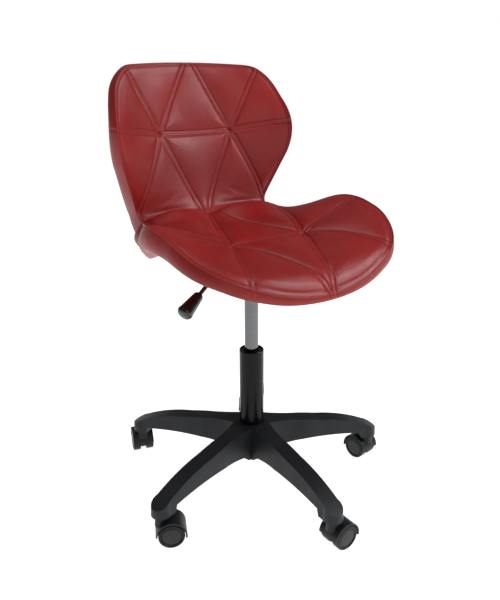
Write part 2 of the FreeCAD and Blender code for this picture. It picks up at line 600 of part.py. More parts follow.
# wheel: profile (radius, distance out along the axle) turned about the axle
wi = wheel_inner
wo = wheel_inner + wheel_wide
wheel_prof = sketch("wheel_profile", Pl(V(tr, 0, wr), Rot(V(0, 0, 1), V(0, 0, 1))), [
    (axle_rad + run_fit, wi), (17, wi), (17, wi + 2), (21, wi + 2), (21, wi), (wheel_rad - 1.6, wi), (wheel_rad, wi + 1.6),
    (wheel_rad, wo - 2.4), ("A", (wheel_rad - 0.7, wo - 0.8), (wheel_rad - 2.4, wo)), (20.5, wo), (19.6, wo - 1.2), (18.2, wo - 1.2), (18.2, wo - 3.0),
    (7, wo - 3.0), (7, wo - 3.6), (axle_rad + run_fit, wo - 3.6)])
wheel_a = turn("wheel_master", wheel_prof, (0, 1, 0), (tr, 0, wr))
cap_prof = sketch("cap_profile", Pl(V(tr, 0, wr), Rot()), [
    (0, wo - 2.95), (18.1, wo - 2.95), (18.1, wo - 1.6), ("A", (16.6, wo - 0.7), (14.0, wo - 0.35)), (0, wo + 0.0)])
cap_a = turn("cap_master", cap_prof, (0, 1, 0), (tr, 0, wr))
half = Pl(V(2 * tr, 0, 0), Rot(V(0, 0, 1), 180))

trail_dir = [94.0, 144.0, 70.0, -27.0, -1.0]     # the way each caster trails at rest
for k in range(5):
    a = math.radians(arm_first + 72 * k)
    p = Pl(V(arm_reach.v * math.cos(a), arm_reach.v * math.sin(a), 0), Rot(V(0, 0, 1), trail_dir[k]))
    n = "caster_%d_" % (k + 1)
    node(n + "hood", placed(n + "hood", [hood_master], p))
    node(n + "axle", placed(n + "axle", [axle_master], p))
    node(n + "wheel_a", placed(n + "wheel_a", [wheel_a], p))
    node(n + "wheel_b", placed(n + "wheel_b", [wheel_a], p.multiply(half)))
    node(n + "cap_a", placed(n + "cap_a", [cap_a], p))
    node(n + "cap_b", placed(n + "cap_b", [cap_a], p.multiply(half)))

# ---------------------------------------------------------------- check and write
doc.recompute()
bad = []
for o in doc.Objects:
    if "Invalid" in o.State or "Error" in o.State:
        bad.append("%s: %s" % (o.Name, o.State))
    if hasattr(o, "Shape") and not isinstance(o.Shape, type(None)):
        if o.Shape.isNull() or not o.Shape.isValid():
            bad.append("%s: shape" % o.Name)
if bad:
    raise RuntimeError("model has faults: " + "; ".join(bad))

os.makedirs("parts", exist_ok=True)
for name, obj in nodes.items():
    sh = obj.Shape
    if not sh.Solids:
        raise RuntimeError(name + " holds no solid")
    out = sh.Solids[0] if len(sh.Solids) == 1 else Part.makeCompound(sh.Solids)
    out.exportStep("parts/%s.step" % name)
    bb = sh.BoundBox
    print("%-20s solids %d vol %.1f  x %.1f %.1f y %.1f %.1f z %.1f %.1f" % (
        name, len(sh.Solids), sh.Volume / 1000.0, bb.XMin, bb.XMax, bb.YMin, bb.YMax, bb.ZMin, bb.ZMax))
print("nodes", len(nodes))
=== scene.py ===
import json
import math

import bpy
import numpy as np
from mathutils import Matrix, Vector


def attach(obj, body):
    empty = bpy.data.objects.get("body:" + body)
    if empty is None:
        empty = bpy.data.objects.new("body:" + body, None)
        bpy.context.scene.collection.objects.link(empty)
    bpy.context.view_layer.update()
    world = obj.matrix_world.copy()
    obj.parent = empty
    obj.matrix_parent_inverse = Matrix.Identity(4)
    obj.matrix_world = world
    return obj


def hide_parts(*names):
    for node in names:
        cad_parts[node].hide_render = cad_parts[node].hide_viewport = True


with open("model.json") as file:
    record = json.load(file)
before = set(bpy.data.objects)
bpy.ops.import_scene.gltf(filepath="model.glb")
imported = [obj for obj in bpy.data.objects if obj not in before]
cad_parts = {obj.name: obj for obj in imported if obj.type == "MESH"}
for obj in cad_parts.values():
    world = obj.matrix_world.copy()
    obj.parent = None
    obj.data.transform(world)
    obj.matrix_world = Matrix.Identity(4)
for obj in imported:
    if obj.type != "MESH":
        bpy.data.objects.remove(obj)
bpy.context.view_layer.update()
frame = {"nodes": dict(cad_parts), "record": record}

# ------------------------------------------------------------------ materials


def new_mat(name, color, rough, metallic=0.0, spec=0.5, coat=0.0, coat_rough=0.1, sheen=0.0):
    m = bpy.data.materials.new(name)
    m.use_nodes = True
    b = m.node_tree.nodes["Principled BSDF"]
    b.inputs["Base Color"].default_value = (*color, 1)
    b.inputs["Roughness"].default_value = rough
    b.inputs["Metallic"].default_value = metallic
    b.inputs["Specular IOR Level"].default_value = spec
    b.inputs["Coat Weight"].default_value = coat
    b.inputs["Coat Roughness"].default_value = coat_rough
    b.inputs["Sheen Weight"].default_value = sheen
    return m, m.node_tree, b


def tex_coord(nt, scale=(1, 1, 1)):
    tc = nt.nodes.new("ShaderNodeTexCoord")
    mp = nt.nodes.new("ShaderNodeMapping")
    mp.inputs["Scale"].default_value = scale
    nt.links.new(tc.outputs["Object"], mp.inputs["Vector"])
    return mp.outputs["Vector"]


def noise(nt, vec, scale, detail=3.0, rough=0.5, distortion=0.0):
    n = nt.nodes.new("ShaderNodeTexNoise")
    n.inputs["Scale"].default_value = scale
    n.inputs["Detail"].default_value = detail
    n.inputs["Roughness"].default_value = rough
    n.inputs["Distortion"].default_value = distortion
    nt.links.new(vec, n.inputs["Vector"])
    return n.outputs["Fac"]


def remap(nt, val, a, b, c, d):
    n = nt.nodes.new("ShaderNodeMapRange")
    n.inputs["From Min"].default_value = a
    n.inputs["From Max"].default_value = b
    n.inputs["To Min"].default_value = c
    n.inputs["To Max"].default_value = d
    nt.links.new(val, n.inputs["Value"])
    return n.outputs["Result"]


def ramp(nt, val, stops):
    n = nt.nodes.new("ShaderNodeValToRGB")
    e = n.color_ramp.elements
    e[0].position, e[0].color = stops[0][0], (*stops[0][1], 1)
    e[1].position, e[1].color = stops[-1][0], (*stops[-1][1], 1)
    for p, c in stops[1:-1]:
        x = e.new(p)
        x.color = (*c, 1)
    nt.links.new(val, n.inputs["Fac"])
    return n.outputs["Color"]


def bump(nt, height, strength, distance, normal=None):
    n = nt.nodes.new("ShaderNodeBump")
    n.inputs["Strength"].default_value = strength
    n.inputs["Distance"].default_value = distance
    nt.links.new(height, n.inputs["Height"])
    if normal is not None:
        nt.links.new(normal, n.inputs["Normal"])
    return n.outputs["Normal"]


def math_node(nt, op, a, b):
    n = nt.nodes.new("ShaderNodeMath")
    n.operation = op
    for i, x in enumerate((a, b)):
        if isinstance(x, (int, float)):
            n.inputs[i].default_value = x
        else:
            nt.links.new(x, n.inputs[i])
    return n.outputs[0]


def leather(name, dark, mid, light, rough=0.37):
    """Soft coated leatherette: pebbled grain, fine pores, slow colour drift."""
    m, nt, b = new_mat(name, mid, rough, spec=0.36, coat=0.0)
    v = tex_coord(nt)
    drift = noise(nt, v, 9.0, 3.0, 0.55)
    col = ramp(nt, drift, [(0.30, dark), (0.5, mid), (0.72, light)])
    nt.links.new(col, b.inputs["Base Color"])
    vor = nt.nodes.new("ShaderNodeTexVoronoi")
    vor.feature = "DISTANCE_TO_EDGE"
    vor.inputs["Scale"].default_value = 620.0
    vor.inputs["Randomness"].default_value = 1.0
    warp = nt.nodes.new("ShaderNodeTexNoise")
    warp.inputs["Scale"].default_value = 160.0
    nt.links.new(v, warp.inputs["Vector"])
    mix = nt.nodes.new("ShaderNodeMixRGB")
    mix.blend_type = "ADD"
    mix.inputs["Fac"].default_value = 0.004
    nt.links.new(v, mix.inputs["Color1"])
    nt.links.new(warp.outputs["Color"], mix.inputs["Color2"])
    nt.links.new(mix.outputs["Color"], vor.inputs["Vector"])
    cell = remap(nt, vor.outputs["Distance"], 0.0, 0.16, 0.0, 1.0)
    fine = noise(nt, v, 1500.0, 2.0)
    h = math_node(nt, "ADD", cell, math_node(nt, "MULTIPLY", fine, 0.35))
    n1 = bump(nt, h, 0.30, 0.00016)
    soft = noise(nt, v, 42.0, 2.0, 0.5)
    n2 = bump(nt, soft, 0.22, 0.0011, n1)
    nt.links.new(n2, b.inputs["Normal"])
    rr = remap(nt, noise(nt, v, 26.0, 3.0), 0.3, 0.7, rough - 0.04, rough + 0.06)
    nt.links.new(rr, b.inputs["Roughness"])
    return m


def nylon(name, color, light, rough=0.5, grain=900.0, depth=0.00012, spec=0.5):
    """Moulded nylon with a fine spark texture and faint flow marks."""
    m, nt, b = new_mat(name, color, rough, spec=spec)
    v = tex_coord(nt)
    f = noise(nt, v, 14.0, 4.0, 0.6, 0.4)
    nt.links.new(ramp(nt, f, [(0.3, color), (0.75, light)]), b.inputs["Base Color"])
    g = noise(nt, v, grain, 2.0, 0.6)
    g2 = noise(nt, v, grain * 0.33, 2.0, 0.5)
    h = math_node(nt, "ADD", g, g2)
    nt.links.new(bump(nt, h, 0.5, depth), b.inputs["Normal"])
    nt.links.new(remap(nt, noise(nt, v, 35.0, 3.0), 0.3, 0.7, rough - 0.06, rough + 0.07), b.inputs["Roughness"])
    return m


def metal(name, color, rough, metallic=1.0, brush=(1, 1, 1), scale=60.0, depth=0.00002, coat=0.0, spec=0.5):
    m, nt, b = new_mat(name, color, rough, metallic=metallic, coat=coat, coat_rough=0.06, spec=spec)
    v = tex_coord(nt, brush)
    s = noise(nt, v, scale, 4.0, 0.6)
    nt.links.new(remap(nt, s, 0.3, 0.7, max(0.02, rough - 0.03), rough + 0.05), b.inputs["Roughness"])
    nt.links.new(bump(nt, s, 0.25, depth), b.inputs["Normal"])
    dk = tuple(c * 0.86 for c in color)
    nt.links.new(ramp(nt, noise(nt, v, 12.0, 2.0), [(0.3, dk), (0.7, color)]), b.inputs["Base Color"])
    return m


MAT = {
    # base nylon colour tinted blue: a painted bluish sheen standing in for the light on the arms' top faces
    "base_nylon": nylon("m_base_nylon_painted_sheen", (0.0078, 0.0092, 0.0118), (0.0125, 0.0150, 0.0190), 0.46, 700.0, 0.00022, 0.28),
    "hood_nylon": nylon("m_hood_nylon", (0.0070, 0.0080, 0.0100), (0.0110, 0.0130, 0.0160), 0.43, 900.0, 0.00015, 0.28),
    "wheel_nylon": nylon("m_wheel_nylon", (0.0070, 0.0074, 0.0085), (0.0105, 0.0112, 0.0125), 0.34, 1200.0, 0.00008, 0.2),
    "wheel_cap": nylon("m_wheel_cap", (0.0115, 0.0120, 0.0125), (0.0155, 0.0160, 0.0165), 0.38, 1000.0, 0.00012, 0.32),
    "steel": metal("m_steel", (0.55, 0.55, 0.56), 0.28, brush=(1, 1, 14)),
    "spring_steel": metal("m_spring_steel", (0.32, 0.32, 0.34), 0.32),
    "tube_black": metal("m_tube_black", (0.0045, 0.0045, 0.0050), 0.22, metallic=0.0, scale=420.0, depth=0.00003, coat=0.0, spec=0.15),
    "bush_plastic": nylon("m_bush_plastic", (0.012, 0.012, 0.013), (0.018, 0.018, 0.019), 0.45),
    "stop_rubber": nylon("m_stop_rubber", (0.014, 0.014, 0.014), (0.02, 0.02, 0.02), 0.75),
    "lift_chrome": metal("m_lift_chrome", (0.15, 0.152, 0.157), 0.09, brush=(1, 1, 30), scale=40.0, depth=0.000012),
    "mech_paint": metal("m_mech_paint", (0.012, 0.012, 0.013), 0.38, metallic=0.0, scale=500.0, depth=0.00004),
    "lever_plated": metal("m_lever_plated", (0.022, 0.022, 0.025), 0.26, metallic=0.0, scale=300.0, coat=0.25),
    "knob_gloss": metal("m_knob_gloss", (0.0045, 0.0045, 0.0050), 0.17, metallic=0.0, scale=120.0, depth=0.00002, coat=0.25),
    "shell_plastic": nylon("m_shell_plastic", (0.02, 0.02, 0.021), (0.028, 0.028, 0.03), 0.6),
    "pad_foam": nylon("m_pad_foam", (0.7, 0.65, 0.5), (0.8, 0.75, 0.62), 0.9),
    "seat_leather": leather("m_seat_leather", (0.215, 0.0056, 0.0052), (0.245, 0.0070, 0.0066), (0.280, 0.0090, 0.0085)),
    # back leather is the seat leather made slightly pinker: painted pinkish glare of the back panel
    "back_leather": leather("m_back_leather_painted_glare", (0.215, 0.0058, 0.0056), (0.245, 0.0074, 0.0072), (0.280, 0.0094, 0.0092)),
    "thread": nylon("m_thread", (0.22, 0.010, 0.011), (0.30, 0.016, 0.017), 0.6, 2500.0, 0.0001),
}
slot_of = {s["node"]: s["material_slot"] for s in frame["record"]["subparts"]}
for name, o in frame["nodes"].items():
    mat = MAT[slot_of[name]]
    if not o.data.materials:
        o.data.materials.append(mat)
    for i in range(len(o.data.materials)):
        o.data.materials[i] = mat

# ------------------------------------------------------------------ the shell's surface
# middle line of the shell's upper face: y, z, slope, half width drawn, rise of the sides, pad depth (mm, degrees)
ST = np.array([
    (-232.8, 477.5, 34, 235, 2, 2),
    (-224.5, 483.0, 30, 235, 6, 3),
    (-197.3, 501.5, 24, 240, 20, 8),
    (-153.6, 513.7, 12, 245, 27, 16),
    (-100.9, 516.0, 4, 248, 44, 24),
    (-50.0, 514.0, 0, 250, 56, 29),
    (4.9, 513.0, 1, 250, 56, 33),
    (59.5, 514.0, 3, 240, 28, 37),
    (103.9, 516.9, 9, 225, 6, 39),
    (138.4, 522.7, 24, 215, 1.5, 40),
    (172.0, 535.0, 45, 210, -3, 40),
    (193.2, 555.4, 64, 205, 1.5, 38),
    (205.2, 591.5, 78, 206, 26, 36),
    (211.2, 641.3, 82.5, 208, 53, 32),
    (217.9, 702.6, 85, 210, 72, 28),
    (221.0, 763.3, 88, 210, 73, 20),
    (221.0, 815.0, 90, 210, 57, 14),
    (220.0, 853.0, 91, 208, 55, 8),
    (219.8, 863.0, 91, 208, 54, 7),
], float)
TT = np.concatenate([[0], np.cumsum(np.hypot(np.diff(ST[:, 0]), np.diff(ST[:, 1])))])
S_J = TT[10]


def spline(t, y):
    """Second derivatives of the natural cubic spline through (t, y)."""
    n = len(t)
    h = np.diff(t)
    A = np.zeros((n, n))
    r = np.zeros(n)
    A[0, 0] = A[-1, -1] = 1
    for i in range(1, n - 1):
        A[i, i - 1], A[i, i], A[i, i + 1] = h[i - 1], 2 * (h[i - 1] + h[i]), h[i]
        r[i] = 6 * ((y[i + 1] - y[i]) / h[i] - (y[i] - y[i - 1]) / h[i - 1])
    return np.linalg.solve(A, r)


SECOND = [spline(TT, ST[:, k]) for k in range(6)]


def at_s(k, s):
    s = np.clip(s, TT[0], TT[-1])
    i = np.clip(np.searchsorted(TT, s) - 1, 0, len(TT) - 2)
    h = TT[i + 1] - TT[i]
    a, b = (TT[i + 1] - s) / h, (s - TT[i]) / h
    m, y = SECOND[k], ST[:, k]
    return a * y[i] + b * y[i + 1] + ((a ** 3 - a) * m[i] + (b ** 3 - b) * m[i + 1]) * h * h / 6


def smoothstep(t):
    t = np.clip(t, 0, 1)
    return t * t * (3 - 2 * t)


def surf(s, x, top, raised=0.0):
    """Point of the shell's section at s, x across; top is 1 for the pad's face and 0 for the underside."""
    w, r, dp = at_s(3, s), at_s(4, s), at_s(5, s)
    r = np.where(np.abs(r) < 0.2, 0.2, r)
    R = (w * w + r * r) / (2 * np.abs(r))
    off = np.sign(r) * (R - np.sqrt(np.maximum(R * R - x * x, 0)))
    d = off + np.where(top > 0.5, dp, -9.7 - 1.1 * smoothstep((s - S_J) / 60.0)) + raised
    th = np.radians(at_s(2, s))
    return at_s(0, s) - np.sin(th) * d, at_s(1, s) + np.cos(th) * d


def solve(x, v, top, axis, lo, hi, raised=0.0):
    a = np.full_like(x, lo)
    b = np.full_like(x, hi)
    for _ in range(34):
        m = 0.5 * (a + b)
        f = surf(m, x, top, raised)[axis] - v
        a = np.where(f < 0, m, a)
        b = np.where(f < 0, b, m)
    s = 0.5 * (a + b)
    y, z = surf(s, x, top, raised)
    return np.stack([x, y, z], -1)


def seat_point(xy, top, raised=0.0):
    xy = np.asarray(xy, float)
    t = np.full(xy.shape[:-1], float(top))
    return solve(xy[..., 0], xy[..., 1], t, 0, TT[0], S_J + 14, raised)


def back_point(xz, top, raised=0.0):
    xz = np.asarray(xz, float)
    t = np.full(xz.shape[:-1], float(top))
    return solve(xz[..., 0], xz[..., 1], t, 1, S_J - 50, TT[-1], raised)


# ------------------------------------------------------------------ outlines


def arc3(a, m, b, n):
    a, m, b = (np.array(p, float) for p in (a, m, b))
    d = 2 * (a[0] * (m[1] - b[1]) + m[0] * (b[1] - a[1]) + b[0] * (a[1] - m[1]))
    ux = ((a @ a) * (m[1] - b[1]) + (m @ m) * (b[1] - a[1]) + (b @ b) * (a[1] - m[1])) / d
    uy = ((a @ a) * (b[0] - m[0]) + (m @ m) * (a[0] - b[0]) + (b @ b) * (m[0] - a[0])) / d
    c = np.array([ux, uy])
    r = np.linalg.norm(a - c)
    t0, t1, t2 = (math.atan2(*(p - c)[::-1]) for p in (a, m, b))
    d1 = (t1 - t0 + math.pi) % (2 * math.pi) - math.pi
    d2 = (t2 - t1 + math.pi) % (2 * math.pi) - math.pi
    t = np.linspace(t0, t0 + d1 + d2, n)
    return np.stack([c[0] + r * np.cos(t), c[1] + r * np.sin(t)], -1)


def smooth_line(p, n=3):
    q = p.copy()
    for _ in range(n):
        q[1:-1] = 0.25 * q[:-2] + 0.5 * q[1:-1] + 0.25 * q[2:]
    return q


def resample(p, n):
    t = np.concatenate([[0], np.cumsum(np.linalg.norm(np.diff(p, axis=0), axis=1))])
    u = np.linspace(0, t[-1], n)
    return np.stack([np.interp(u, t, p[:, 0]), np.interp(u, t, p[:, 1])], -1)


seat_half = np.vstack([
    arc3((0, -228), (75, -222.6), (150, -206), 40)[:-1],
    arc3((150, -206), (213, -166), (236, -85), 50)[:-1],
    arc3((236, -85), (233, -17), (198, 46), 40)[:-1],
    arc3((198, 46), (176, 84), (159, 122), 24)[:-1],
    arc3((159, 122), (157.5, 150), (151, 180), 20)])
seat_half = resample(smooth_line(resample(seat_half, 260), 6), 420)
back_half = np.vstack([
    np.array([(151.0, 512.0), (151.2, 545.0)]),
    arc3((152.5, 562), (171, 612), (195, 672), 40),
    arc3((195, 672), (203, 738), (190, 792), 50)[1:],
    arc3((190, 792), (172, 826), (142, 847), 30)[1:],
    arc3((142, 847), (75, 850.6), (0, 852), 40)[1:]])
back_half = resample(smooth_line(resample(back_half, 260), 6), 420)
CREASE_Y, CREASE_Z = 148.0, 557.0
UNDER_Y, UNDER_Z = 165.0, 521.0


def seat_x(y):
    i = seat_half[:, 1] > -60
    return np.interp(y, seat_half[i, 1], seat_half[i, 0])


def back_x(z):
    i = back_half[:, 1] < 740
    return np.interp(z, back_half[i, 1], back_half[i, 0])


class Pad:
    """Concentric square lattice over an outline, mapped to the pad's face."""

    def __init__(self, name, sides, centre, point):
        self.name, self.sides, self.c, self.point = name, sides, np.array(centre, float), point
        self.ring = None

    def outline(self, M):
        """8M points, 2M to a side, from the lattice corner (-1,-1) counter-clockwise."""
        if self.ring is None:
            r = np.vstack([resample(s, 401)[:-1] for s in self.sides])
            for _ in range(3):          # rounds the corners off
                r = sum(np.roll(r, k, 0) for k in range(-6, 7)) / 13.0
            self.ring = np.vstack([r, r[:1]])
        t = np.arange(8 * M) / M
        tt = np.linspace(0, 8, len(self.ring))
        return np.stack([np.interp(t, tt, self.ring[:, 0]), np.interp(t, tt, self.ring[:, 1])], -1)

    def ring_ids(self, M):
        n = 2 * M
        a = [(i, 0) for i in range(n)] + [(n, i) for i in range(n)]
        a += [(n - i, n) for i in range(n)] + [(0, n - i) for i in range(n)]
        return np.array(a)

    def domain(self, M):
        u = np.linspace(-1, 1, 2 * M + 1)
        U, V = np.meshgrid(u, u, indexing="ij")
        rho = np.maximum(np.abs(U), np.abs(V))
        safe = np.where(rho > 1e-9, rho, 1)
        a, b = U / safe, V / safe
        # place along the square's edge, 0..8
        t = np.where((V <= -rho + 1e-9), a + 1,
            np.where((U >= rho - 1e-9), b + 3,
            np.where((V >= rho - 1e-9), 5 - a, 7 - b)))
        out = self.outline(200)
        out = np.vstack([out, out[:1]])
        tt = np.linspace(0, 8, len(out))
        X = np.interp(t % 8.0, tt, out[:, 0])
        Y = np.interp(t % 8.0, tt, out[:, 1])
        P = self.c + rho[..., None] * (np.stack([X, Y], -1) - self.c)
        return P, rho

    def to_lattice(self, p):
        """Domain points to lattice coordinates in -1..1."""
        out = self.outline(200)
        ang = np.unwrap(np.arctan2(out[:, 1] - self.c[1], out[:, 0] - self.c[0]))
        tt = np.linspace(0, 8, len(out), endpoint=False)
        d = np.asarray(p, float) - self.c
        a = np.arctan2(d[..., 1], d[..., 0])
        ang2 = np.concatenate([ang, ang[:1] + 2 * math.pi])
        tt2 = np.concatenate([tt, [8.0]])
        a = (a - ang2[0]) % (2 * math.pi) + ang2[0]
        t = np.interp(a, ang2, tt2)
        ox = np.interp(t, tt2, np.append(out[:, 0], out[0, 0])) - self.c[0]
        oy = np.interp(t, tt2, np.append(out[:, 1], out[0, 1])) - self.c[1]
        rho = np.hypot(d[..., 0], d[..., 1]) / np.maximum(np.hypot(ox, oy), 1e-9)
        t = t % 8.0
        u = np.where(t < 2, t - 1, np.where(t < 4, 1.0, np.where(t < 6, 5 - t, -1.0)))
        v = np.where(t < 2, -1.0, np.where(t < 4, t - 3, np.where(t < 6, 1.0, 7 - t)))
        return np.stack([u, v], -1) * rho[..., None]


def sample(F, uv):
    """Bilinear value of lattice field F (n, n, k) at uv in -1..1."""
    n = F.shape[0]
    g = np.clip((uv + 1) * 0.5 * (n - 1), 0, n - 1 - 1e-6)
    i = np.floor(g).astype(int)
    f = g - i
    a, b = i[..., 0], i[..., 1]
    fx, fy = f[..., 0:1], f[..., 1:2]
    return (F[a, b] * (1 - fx) * (1 - fy) + F[a + 1, b] * fx * (1 - fy)
            + F[a, b + 1] * (1 - fx) * fy + F[a + 1, b + 1] * fx * fy)


def upsample(F, n):
    """Smooth (Catmull-Rom) resize of lattice field F to n by n."""
    def one(G, n):
        m = G.shape[0]
        g = np.linspace(0, m - 1, n)
        i = np.clip(np.floor(g).astype(int), 0, m - 2)
        f = (g - i)[:, None, None]
        p = [G[np.clip(i + k, 0, m - 1)] for k in (-1, 0, 1, 2)]
        return 0.5 * (2 * p[1] + (p[2] - p[0]) * f + (2 * p[0] - 5 * p[1] + 4 * p[2] - p[3]) * f ** 2
                      + (3 * p[1] - p[0] - 3 * p[2] + p[3]) * f ** 3)
    return np.swapaxes(one(np.swapaxes(one(F, n), 0, 1), n), 0, 1)


def lattice_normals(P):
    du = np.gradient(P, axis=0)
    dv = np.gradient(P, axis=1)
    n = np.cross(du, dv)
    return n / np.maximum(np.linalg.norm(n, axis=-1, keepdims=True), 1e-12)


def seg_dist(P, a, b):
    """Distance to the segment a-b, place along it 0..1, and the segment's length."""
    a, b = np.array(a, float), np.array(b, float)
    d = b - a
    L = np.linalg.norm(d)
    t = np.clip(((P - a) @ d) / (L * L), 0, 1)
    q = a + t[..., None] * d
    return np.linalg.norm(P - q, axis=-1), t, L


def poly_dist(P, pts):
    """Distance to a polyline and the place along it 0..1."""
    pts = np.array(pts, float)
    seg = np.linalg.norm(np.diff(pts, axis=0), axis=1)
    cum = np.concatenate([[0], np.cumsum(seg)])
    best = np.full(P.shape[:-1], 1e9)
    place = np.zeros(P.shape[:-1])
    for i in range(len(pts) - 1):
        d, t, L = seg_dist(P, pts[i], pts[i + 1])
        w = d < best
        best = np.where(w, d, best)
        place = np.where(w, (cum[i] + t * L) / cum[-1], place)
    return best, place, cum[-1]


def bowed(a, b, bow, n=13):
    a, b = np.array(a, float), np.array(b, float)
    d = b - a
    nrm = np.array([-d[1], d[0]]) / np.linalg.norm(d)
    t = np.linspace(0, 1, n)[:, None]
    return a + t * d + nrm * bow * np.sin(math.pi * t)


# seams: line in the pad's own plan, depth at its start, middle and end (mm), strength of its stitched band
seat_panel = Pad("seat_pad", None, (0, -48), seat_point)
back_panel = Pad("back_pad", None, (0, 705), back_point)
C, D = (-84, -51), (84, -51)
SEAT_SEAMS = [
    (bowed(C, (-152, -205.5), -3), 17, 7.5, 0.6, 1.0),
    (bowed(D, (186, -190.5), 3), 17, 7.5, 0.6, 1.0),
    (bowed(C, (-3.5, -228), 3), 17, 7.5, 0.6, 1.0),
    (bowed(D, (3.5, -228), -3), 17, 7.5, 0.6, 1.0),
    (bowed(C, D, 0), 17, 7.0, 17, 0.9),
    (bowed(C, (-238.5, -38), 0), 16, 3.5, 0.2, 0.5),
    (bowed(D, (238.5, -38), 0), 16, 3.5, 0.2, 0.5),
    (bowed(C, (-157, 118), 2), 17, 7, 1.0, 0.9),
    (bowed(D, (157, 118), -2), 17, 7, 1.0, 0.9),
    (bowed(C, (-3.5, CREASE_Y), -2), 16, 8, 6, 1.0),
    (bowed(D, (3.5, CREASE_Y), 2), 16, 8, 6, 1.0),
]
A, B = (-82.5, 721), (82.5, 721)
BACK_SEAMS = [
    (bowed(A, (-150, 841), 0), 9, 3.6, 0.2, 1.0),
    (bowed(B, (150, 841), 0), 9, 3.6, 0.2, 1.0),
    (bowed(A, (-9, 852), 0), 9, 3.6, 0.2, 1.0),
    (bowed(B, (12, 852), 0), 9, 3.6, 0.2, 1.0),
    (bowed(A, (-202, 737), -1), 9, 3.6, 0.2, 1.0),
    (bowed(B, (202, 737), 1), 9, 3.6, 0.2, 1.0),
    (bowed(A, B, -3), 9, 4.2, 9, 1.0),
    (bowed(A, (-155, 572), 0), 9, 3.6, 0.5, 1.0),
    (bowed(B, (155, 572), 0), 9, 3.6, 0.5, 1.0),
    (bowed(A, (-4, CREASE_Z), 0), 9, 3.8, 2.5, 1.0),
    (bowed(B, (4, CREASE_Z), 0), 9, 3.8, 2.5, 1.0),
]


def split_half(half, keep, low_corner, high_corner):
    """Returns None and builds nothing; the four sides of the outlines come from sides_from and back_sides."""
    return None


# the four sides of each outline, counter-clockwise seen from the pad's face side
def sides_from(half, i_corner, j_end, closing):
    """half runs from the middle of side 0 to the end corner; returns the four sides of a mirrored loop."""
    left = half * [-1, 1]
    s0 = np.vstack([left[:i_corner + 1][::-1], half[1:i_corner + 1]])
    s1 = half[i_corner:j_end + 1]
    s2 = closing(half[j_end])
    s3 = left[i_corner:j_end + 1][::-1]
    return [s0, s1, s2, s3]


i_front = int(np.argmin(np.hypot(seat_half[:, 0] - 190, seat_half[:, 1] + 188)))
j_rear = int(np.argmin(np.abs(seat_half[:, 1] - CREASE_Y) + (seat_half[:, 1] < 0) * 1e3))


def seat_closing(corner):
    x = np.linspace(corner[0], -corner[0], 60)
    return np.stack([x, np.full_like(x, corner[1])], -1)


seat_panel.sides = sides_from(seat_half, i_front, j_rear, seat_closing)
bh = back_half[::-1]                    # from the top middle down the side
i_top = int(np.argmin(np.hypot(bh[:, 0] - 165, bh[:, 1] - 832)))
j_low = int(np.argmin(np.abs(bh[:, 1] - CREASE_Z)))
b_left = bh * [-1, 1]


def back_sides():
    lo = np.stack([np.linspace(-bh[j_low, 0], bh[j_low, 0], 60), np.full(60, bh[j_low, 1])], -1)
    right = bh[i_top:j_low + 1][::-1]
    top = np.vstack([bh[:i_top + 1][::-1], b_left[1:i_top + 1]])
    left = b_left[i_top:j_low + 1]
    return [lo, right, top, left]


back_panel.sides = back_sides()

# ------------------------------------------------------------------ the pads' faces


def seam_fields(P, seams, spread):
    """Depth of the valleys, and distance to the nearest seam with its band strength."""
    depth = np.zeros(P.shape[:-1])
    near = np.full(P.shape[:-1], 1e9)
    band = np.zeros(P.shape[:-1])
    for line, d0, dm, d1, st in seams:
        d, t, L = poly_dist(P, line)
        dd = np.where(t < 0.5, d0 + (dm - d0) * np.sin(np.pi * t) ** 0.6, d1 + (dm - d1) * np.sin(np.pi * t) ** 0.7)
        val = dd * np.exp(-(d / (spread[0] + spread[1] * dd)) ** 1.15)
        depth = np.maximum(depth, val)
        w = d < near
        near = np.where(w, d, near)
        band = np.where(w, st, band)
    return depth, near, band


def build_face(pad, M, seams, extra):
    P, rho = pad.domain(M)
    base = pad.point(P, 1)
    N = lattice_normals(base)
    if pad is back_panel:
        if N[M, M, 1] > 0:
            N = -N
    elif N[M, M, 2] < 0:
        N = -N
    depth, near, band = seam_fields(P, seams, (10.0, 1.0) if pad is seat_panel else (7.0, 0.7))
    h = extra(P, rho) - depth
    return P, rho, base, N, depth, near, band, h


def seat_extra(P, rho):
    x, y = P[..., 0], P[..., 1]
    edge = smoothstep((1 - rho) / 0.13)
    side = np.where(x < 0, 16.0, 13.0) * np.exp(-np.abs((np.abs(x) - 82) / 58) ** 2.4)
    lobes = side * np.exp(-((y - 135) / np.where(y < 135, 38.0, 14.0)) ** 2)
    crease = -3.0 * np.exp(-((CREASE_Y - y) / 6.0)) * (np.abs(x) < 200)
    lip = 3.5 * np.exp(-((y + 196) / 22.0) ** 2) * smoothstep((175 - np.abs(x)) / 60)
    puff = 5.0 * smoothstep((1 - rho) / 0.10) + lip
    return puff + lobes + crease * smoothstep((y - 90) / 40)


def back_extra(P, rho):
    x, z = P[..., 0], P[..., 1]
    edge = smoothstep((1 - rho) / 0.13)
    return 2.0 * edge - 6.0 * np.exp(-(z - CREASE_Z) / 9.0) * smoothstep((640 - z) / 40)


def mesh_object(name, verts_mm, faces, smooth=True):
    me = bpy.data.meshes.new(name)
    me.from_pydata((np.asarray(verts_mm) * 0.001).tolist(), [], [list(map(int, f)) for f in faces])
    me.update()
    o = bpy.data.objects.new(name, me)
    bpy.context.scene.collection.objects.link(o)
    if smooth:
        me.polygons.foreach_set("use_smooth", [True] * len(me.polygons))
    return o


def grid_faces(M):
    n = 2 * M + 1
    i, j = np.meshgrid(np.arange(n - 1), np.arange(n - 1), indexing="ij")
    a = i * n + j
    return np.stack([a, a + n, a + n + 1, a + 1], -1).reshape(-1, 4)


def ring_faces(r0, r1):
    n = len(r0)
    k = np.arange(n)
    return np.stack([r0, r0[(k + 1) % n], r1[(k + 1) % n], r1], -1)


